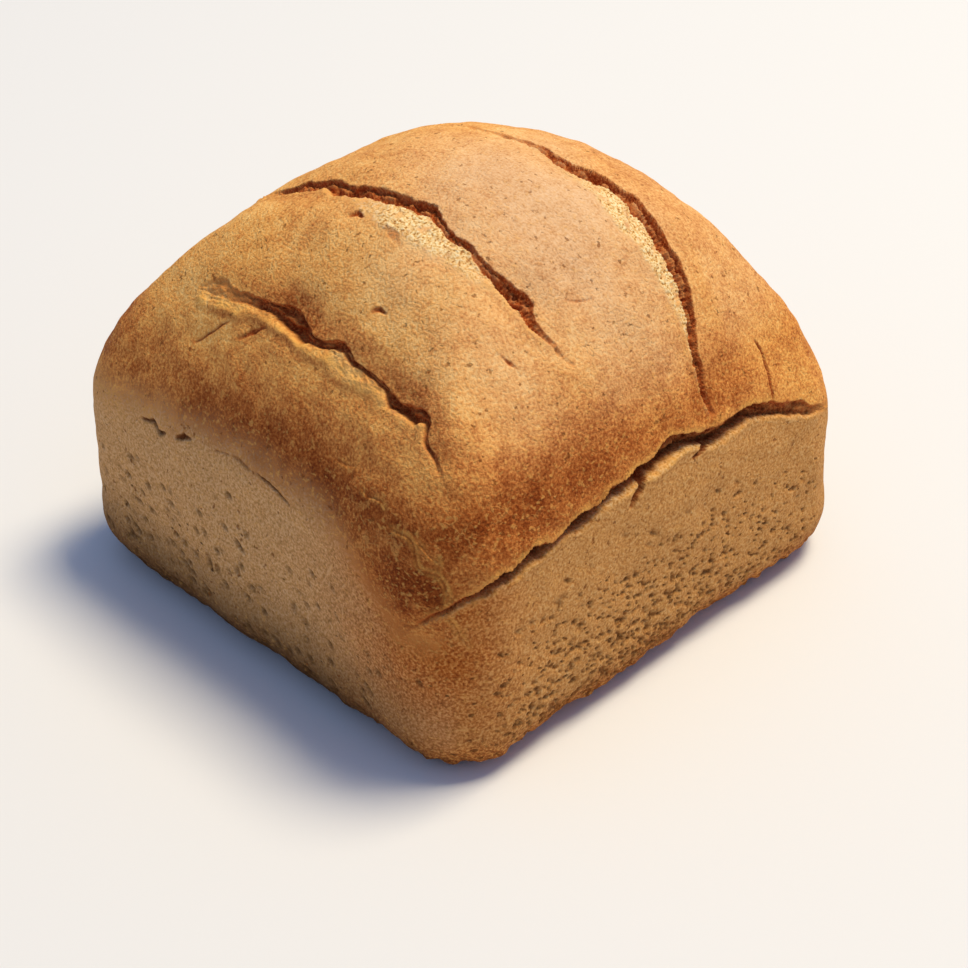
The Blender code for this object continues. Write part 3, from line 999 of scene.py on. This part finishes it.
class NodeSheet:
    """Node tree of one material, filled node by node."""

    def __init__(self, name: str) -> None:
        """Starts a material with an empty tree.

        Args:
            name: the material's name.
        """
        self.material = bpy.data.materials.new(name)
        self.material.use_nodes = True
        self.tree = self.material.node_tree
        self.tree.nodes.clear()

    def add(
        self,
        kind: str,
        inputs: dict[str | int, object],
        settings: dict[str, object] | None = None,
        output: str | int = 0,
    ) -> Socket | None:
        """Adds a node with its settings and links.

        Args:
            kind: Blender's name of the node.
            inputs: values or sockets for its inputs, by name or number.
            settings: values of the node's own settings.
            output: name or number of the output that is wanted.

        Returns:
            The output's socket, or None where the node has no output.
        """
        node = self.tree.nodes.new(kind)
        for name, value in (settings or {}).items():
            setattr(node, name, value)
        for key, value in inputs.items():
            if isinstance(value, Socket):
                self.tree.links.new(value, node.inputs[key])
            else:
                node.inputs[key].default_value = value
        return node.outputs[output] if len(node.outputs) else None

    def maths(self, settings: dict[str, object], *values: Socket | float) -> Socket:
        """Works one value out from the given ones, in the way that the settings say."""
        return self.add("ShaderNodeMath", dict(enumerate(values)), settings)

    def blend(self, share: Socket, below: Colour, above: Colour) -> Socket:
        """Lays one colour over another by the given share."""
        return self.add("ShaderNodeMix", {0: share, 6: below, 7: above}, BLEND, output=2)

    def noise(self, place: Socket, size: float, detail: float, output: int = 0) -> Socket:
        """Smooth noise of the given wave size: its value, or its colour for output 1."""
        inputs = {"Vector": place, "Scale": 1.0 / size, "Detail": detail}
        return self.add("ShaderNodeTexNoise", inputs, output=output)

    def ramp(self, value: Socket, *stops: tuple[float, str]) -> Socket:
        """Turns a value into a colour.

        Args:
            value: the value, 0 to 1.
            stops: values and the sRGB hex colours that they turn into.

        Returns:
            The colour.
        """
        colour = self.add("ShaderNodeValToRGB", {"Fac": value})
        elements = colour.node.color_ramp.elements
        while len(elements) < len(stops):
            elements.new(0.5)
        for element, (position, shade) in zip(elements, stops):
            element.position = position
            element.color = linear(shade)
        return colour


# Baked bread crust, dried and browned by the oven over flour and bran: to the eye it is matt
# and dry, with a fine grain, an almost dull sheen and colours that run from tan to dark brown.
@dataclass(frozen=True)
class BakedCrust:
    """Baked sourdough crust: dry, matt, finely grained and unevenly browned."""

    # Real bran and flour grains are 0.2 to 0.4 mm and would not show, so they are drawn coarser.
    grain_size: float = 0.65 * MM
    grain_roughness: float = 0.55
    fleck_size: float = 1.0 * MM
    mottle_size: float = 3.6 * MM
    speck_spacing: float = 1.7 * MM
    pore_spacing: float = 1.9 * MM
    pore_stretch: float = 0.62
    crackle_size: float = 6.0 * MM
    crackle_bend: float = 3.0 * MM
    crackle_drift: float = 6.0 * MM
    roughness: float = 0.85
    sheen: float = 0.12
    index: float = 1.45
    relief_strength: float = 0.8
    relief_depth: float = 0.55 * MM

    def crown(
        self, sheet: NodeSheet, place: Socket, grain: Socket, masks: dict[str, Socket]
    ) -> Socket:
        """Golden to dark brown skin of the crown, with dark specks and light flecks.

        Args:
            sheet: the material's node sheet.
            place: object coordinates.
            grain: fine noise.
            masks: the crust's masks by name.

        Returns:
            The colour.
        """
        mottle = sheet.noise(place, self.mottle_size, 3.0)
        baked = sheet.maths(MULTIPLY_ADD, mottle, 0.50, masks["brown"])
        baked = sheet.maths(MULTIPLY_ADD, grain, 0.95, baked)
        baked = sheet.maths(MINUS, baked, 0.725)
        light = ((0.00, "#FFC878"), (0.20, "#F2AC58"), (0.40, "#D68842"))
        dark = ((0.60, "#B0622A"), (0.80, "#8C4214"), (1.00, "#6A2A08"))
        colour = sheet.ramp(baked, *light, *dark)
        pinks = ((0.00, "#EDC398"), (0.25, "#E4B484"), (0.45, "#D29C6A"), (0.80, "#9A6038"))
        pale = sheet.ramp(baked, *pinks)
        return sheet.blend(masks["pink"], colour, pale)

    def speck_pattern(self, sheet: NodeSheet, place: Socket) -> Socket:
        """Scattered dark specks and pinholes of several sizes.

        Args:
            sheet: the material's node sheet.
            place: object coordinates.

        Returns:
            One inside a speck.
        """
        low = sheet.noise(place, self.speck_spacing, 2.0)
        speck = sheet.maths(MINUS, 0.345, low)
        return sheet.maths(TIMES, speck, 14.0)

    def tin_side(
        self, sheet: NodeSheet, grain: Socket, pores: Socket, masks: dict[str, Socket]
    ) -> Socket:
        """Tan tin-baked skin, greyer on the ends, with open pores and painted shade in them and low
        down.

        Args:
            sheet: the material's node sheet.
            grain: fine noise.
            pores: how far inside a pore each place lies.
            masks: the crust's masks by name.

        Returns:
            The colour.
        """
        front = sheet.ramp(grain, (0.30, "#AC7038"), (0.50, "#CE9150"), (0.70, "#E0AC6C"))
        end = sheet.ramp(grain, (0.30, "#B08048"), (0.50, "#D39C62"), (0.70, "#E4B682"))
        colour = sheet.blend(masks["end"], front, end)
        browned = (
            ("rust", 1.00, ((0.32, "#863C10"), (0.50, "#B56022"), (0.68, "#DA9048"))),
            ("foot", 0.95, ((0.32, "#7A3C12"), (0.50, "#AC622A"), (0.68, "#DA9448"))),
        )
        for name, share, stops in browned:
            amount = sheet.maths(TIMES, masks[name], share)
            colour = sheet.blend(amount, colour, sheet.ramp(grain, *stops))
        # Painted shade, dark brown, low on the ends and back.
        painted_foot_shade = sheet.maths(TIMES, masks["painted_foot_shade"], 0.95)
        colour = sheet.blend(painted_foot_shade, colour, linear("#4C3216"))
        # Painted shade in the pores, darker on the ends.
        dark = sheet.maths(TIMES, pores, 0.85)
        pore_shade = sheet.blend(masks["end"], linear("#6E3E16"), linear("#4A2C10"))
        return sheet.blend(dark, colour, pore_shade)

    def pore_pattern(self, sheet: NodeSheet, place: Socket, masks: dict[str, Socket]) -> Socket:
        """Small flat-lying pores, larger and closer where the crumb is porous.

        Args:
            sheet: the material's node sheet.
            place: object coordinates.
            masks: the crust's masks by name.

        Returns:
            How far inside a pore each place lies.
        """
        flat = self.pore_stretch
        stretched = sheet.add("ShaderNodeMapping", {"Vector": place, "Scale": (flat, flat, 1.0)})
        cells = {"Vector": stretched, "Scale": 1.0 / self.pore_spacing}
        near = sheet.add("ShaderNodeTexVoronoi", cells)
        pick = sheet.add("ShaderNodeTexVoronoi", cells, output="Color")
        size = sheet.maths(TIMES_PLUS, pick, 0.42, 0.04)
        size = sheet.maths(TIMES, size, masks["porous"])
        inside = sheet.maths(MINUS, size, near)
        inside = sheet.maths(TIMES, inside, 8.0)
        return sheet.maths(MORE, inside, masks["pore"])

    def crackle_pattern(self, sheet: NodeSheet, place: Socket, masks: dict[str, Socket]) -> Socket:
        """Net of fine light cracks where the skin of the crown dried and split.

        Args:
            sheet: the material's node sheet.
            place: object coordinates.
            masks: the crust's masks by name.

        Returns:
            One on the cracks.
        """
        drift = sheet.noise(place, self.crackle_bend, 3.0, output=1)
        bent = {0: drift, 1: (self.crackle_drift,) * 3, 2: place}
        bent = sheet.add("ShaderNodeVectorMath", bent, MULTIPLY_ADD)
        cells = {"Vector": bent, "Scale": 1.0 / self.crackle_size}
        edge = sheet.add("ShaderNodeTexVoronoi", cells, {"feature": "DISTANCE_TO_EDGE"})
        line = sheet.maths(TIMES_PLUS, edge, -16.0, 1.0)
        gaps = sheet.noise(place, 2.5 * self.crackle_bend, 1.0)
        gaps = sheet.maths(MINUS, gaps, 0.48)
        gaps = sheet.maths(TIMES, gaps, 8.0)
        line = sheet.maths(TIMES, line, gaps)
        return sheet.maths(TIMES, line, masks["crackle"])

    def dash_pattern(self, sheet: NodeSheet, place: Socket, masks: dict[str, Socket]) -> Socket:
        """Short light flakes of dry skin with painted glints, most of them on the browned shoulders.

        Args:
            sheet: the material's node sheet.
            place: object coordinates.
            masks: the crust's masks by name.

        Returns:
            One on the flakes.
        """
        stretched = sheet.add("ShaderNodeMapping", {"Vector": place, "Scale": (0.8, 0.8, 1.0)})
        dash = sheet.noise(stretched, self.fleck_size, 1.5)
        dash = sheet.maths(MINUS, dash, 0.57)
        dash = sheet.maths(TIMES, dash, 8.0)
        share = sheet.maths(TIMES_PLUS, masks["brown"], 0.75, 0.20)
        return sheet.maths(TIMES, dash, share)

    def build(self) -> bpy.types.Material:
        """Makes the material.

        Returns:
            The material, which reads the crust's masks and object coordinates.
        """
        sheet = NodeSheet("baked_sourdough_crust")
        names = ("side", "brown", "foot", "painted_foot_shade", "rust", "pink", "end", "porous", "crackle")
        names += ("hollow", "crumb", "painted_highlight", "pore")
        masks = {}
        for name in names:
            reads = {"attribute_name": name}
            masks[name] = sheet.add("ShaderNodeAttribute", {}, reads, output="Fac")
        place = sheet.add("ShaderNodeTexCoord", {}, output="Object")
        grain = sheet.noise(place, self.grain_size, 2.0)
        grain.node.inputs["Roughness"].default_value = self.grain_roughness
        pores = self.pore_pattern(sheet, place, masks)
        specks = self.speck_pattern(sheet, place)
        dashes = self.dash_pattern(sheet, place, masks)
        cracks = self.crackle_pattern(sheet, place, masks)
        crown = self.crown(sheet, place, grain, masks)
        sides = self.tin_side(sheet, grain, pores, masks)
        colour = sheet.blend(masks["side"], crown, sides)
        marks = (
            (specks, 0.65, "#7C4216"),
            # Light flakes of dry skin with painted glints.
            (dashes, 0.60, "#EEB05C"),
            (cracks, 0.60, "#DE9A50"),
            # Painted highlight on the lips and edges that face the light.
            (masks["painted_highlight"], 0.70, "#F4B458"),
        )
        for mark, share, paint in marks:
            amount = sheet.maths(TIMES, mark, share)
            colour = sheet.blend(amount, colour, linear(paint))
        crumb = ((0.34, "#A0622A"), (0.42, "#E0AA62"), (0.52, "#F4D092"), (0.66, "#FFE8B8"))
        torn = sheet.ramp(grain, *crumb)
        colour = sheet.blend(masks["crumb"], colour, torn)
        # Gaps: reddish torn crust under painted shade, near black-brown in the tin sides' gaps.
        deep = sheet.ramp(grain, (0.35, "#8A3A14"), (0.52, "#B05422"), (0.68, "#CC7E42"))
        share = sheet.maths(TIMES_PLUS, masks["end"], 0.4, 0.6)
        side_gap_shade = sheet.maths(TIMES, masks["side"], share)
        deep = sheet.blend(side_gap_shade, deep, linear("#563214"))
        colour = sheet.blend(masks["hollow"], colour, deep)
        on_side = sheet.maths(TIMES, pores, masks["side"])
        even = sheet.maths(TIMES_PLUS, masks["side"], -0.5, 1.0)
        height = sheet.maths(TIMES, grain, even)
        for mark, rise in ((on_side, -0.90), (specks, -0.30), (dashes, 0.30), (cracks, 0.35)):
            height = sheet.maths(MULTIPLY_ADD, mark, rise, height)
        relief = {"Height": height, "Strength": self.relief_strength, "Distance": self.relief_depth}
        surface = sheet.add("ShaderNodeBump", relief)
        finish = {"Base Color": colour, "Normal": surface, "Roughness": self.roughness}
        finish |= {"Specular IOR Level": self.sheen, "IOR": self.index}
        shader = sheet.add("ShaderNodeBsdfPrincipled", finish)
        sheet.add("ShaderNodeOutputMaterial", {"Surface": shader})
        return sheet.material


@dataclass(frozen=True)
class Studio:
    """Pale floor, soft light and the camera."""

    eye: tuple[float, float, float] = (-0.2899, -0.2962, 0.3050)
    azimuth: float = -45.09
    elevation: float = 34.83
    lens: float = 75.0
    floor_size: float = 6.0
    floor_colour: str = "#ECEAE8"
    key_place: tuple[float, float, float] = (0.83, -0.34, 2.33)
    key_aim: tuple[float, float, float] = (0.0, 0.0, 0.05)
    key_size: float = 0.90
    key_power: float = 62.5
    key_colour: str = "#FFF2D3"
    room_light: float = 0.46
    room_colour: str = "#B4CEFF"

    def floor(self) -> bpy.types.Object:
        """Lays the pale floor.

        Returns:
            The floor.
        """
        bpy.ops.object.select_all(action="DESELECT")
        bpy.ops.mesh.primitive_plane_add(size=self.floor_size, location=(0.0, 0.0, 0.0))
        floor = bpy.context.active_object
        floor.name = "floor"
        sheet = NodeSheet("painted_floor")
        paint = {"Base Color": linear(self.floor_colour), "Roughness": 0.9}
        shader = sheet.add("ShaderNodeBsdfPrincipled", paint)
        sheet.add("ShaderNodeOutputMaterial", {"Surface": shader})
        floor.data.materials.append(sheet.material)
        return floor

    def key_light(self) -> None:
        """Hangs a warm, soft square light that faces the loaf."""
        data = bpy.data.lights.new("key", "AREA")
        data.size = self.key_size
        data.energy = self.key_power
        data.color = linear(self.key_colour)[:3]
        lamp = bpy.data.objects.new("key", data)
        bpy.context.scene.collection.objects.link(lamp)
        lamp.location = self.key_place
        aim = Vector(self.key_aim) - Vector(self.key_place)
        lamp.rotation_euler = aim.to_track_quat("-Z", "Y").to_euler()

    def surroundings(self) -> None:
        """Fills the shadows with cool light from all round."""
        world = bpy.data.worlds.new("cool_room")
        world.use_nodes = True
        back = world.node_tree.nodes["Background"]
        back.inputs["Color"].default_value = linear(self.room_colour)
        back.inputs["Strength"].default_value = self.room_light
        bpy.context.scene.world = world

    def camera(self) -> None:
        """Sets the camera up at the viewing angle."""
        data = bpy.data.cameras.new("camera")
        data.lens = self.lens
        data.sensor_width = 36.0
        camera = bpy.data.objects.new("camera", data)
        bpy.context.scene.collection.objects.link(camera)
        camera.location = self.eye
        tilt = math.radians(90.0 - self.elevation)
        camera.rotation_euler = (tilt, 0.0, math.radians(self.azimuth))
        bpy.context.scene.camera = camera

    def build(self) -> bpy.types.Object:
        """Sets up floor, lights and camera.

        Returns:
            The floor.
        """
        self.camera()
        self.surroundings()
        self.key_light()
        bpy.context.scene.view_settings.view_transform = "Standard"
        return self.floor()


def main() -> None:
    """Builds the loaf and the studio and reports each piece."""
    studio = Studio()
    studio.build()
    crust = Crust(LoafForm()).build()
    crust.data.materials.append(BakedCrust().build())
    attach(crust, "root")
    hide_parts("loaf")
    LOG.info("%s: %s", crust.name, tuple(round(side, 4) for side in crust.dimensions))


if __name__ == "__main__":
    main()
